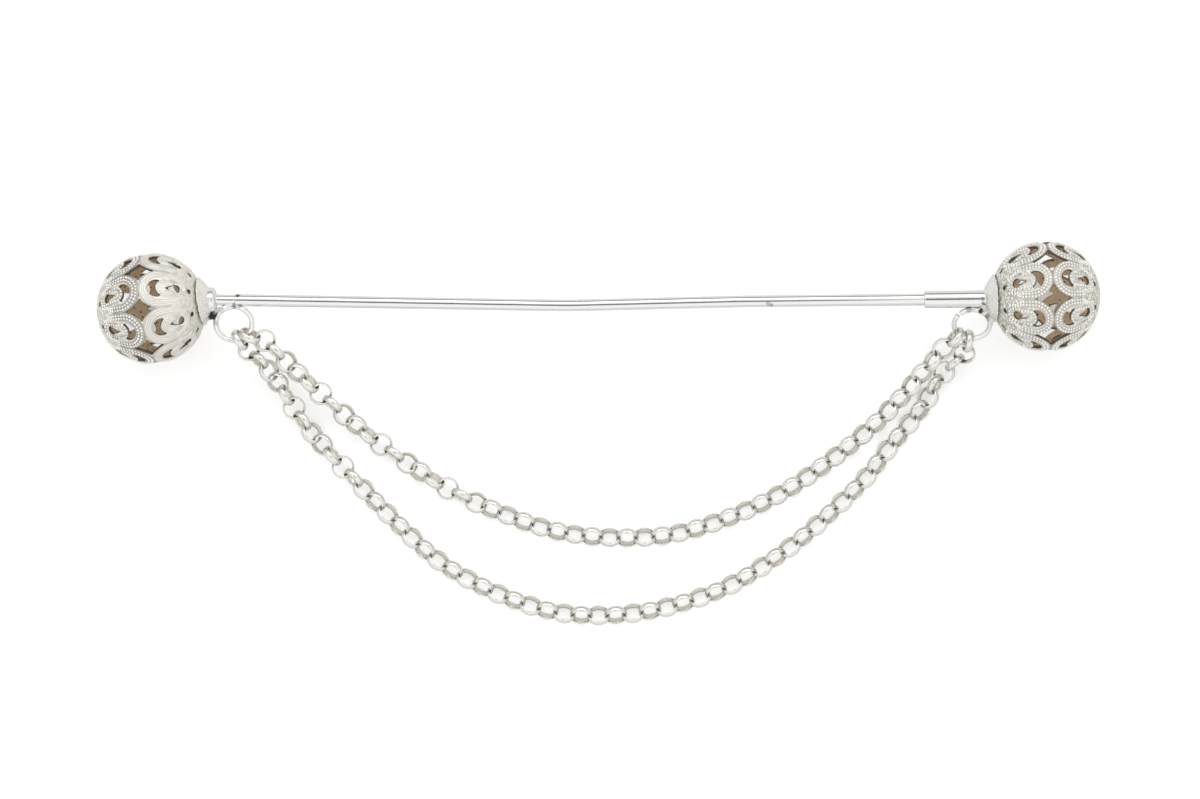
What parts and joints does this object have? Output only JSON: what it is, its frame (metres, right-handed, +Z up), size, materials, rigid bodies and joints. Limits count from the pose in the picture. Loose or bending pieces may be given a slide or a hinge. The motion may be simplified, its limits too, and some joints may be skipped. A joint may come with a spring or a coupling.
{
  "type": "scarf pin",
  "caption": "Straight scarf pin with a pierced ball at each end, a push-on clutch over the point, and loose chains hung between soldered rings.",
  "frame": {"origin": "centre of the floor rectangle that the whole pin fills, on the surface that it lies on", "axes": "+X along the stem from the fixed ball to the clutch's ball, +Y from the chains towards the stem, +Z up from the surface"},
  "size_m": [0.1078, 0.0414, 0.012],
  "materials": {
    "ball_silver": "pale worn silver with warm tarnish in the pattern",
    "stem_silver": "bright, softly worn silver",
    "chain_silver": "bright silver with brown tarnish between the links"
  },
  "bodies": {
    "root": {"left_ball": "ball_silver", "right_ball": "ball_silver", "pin_stem": "stem_silver", "clutch": "stem_silver", "upper_chain": "chain_silver", "lower_chain": "chain_silver"}
  },
  "joints": []
}
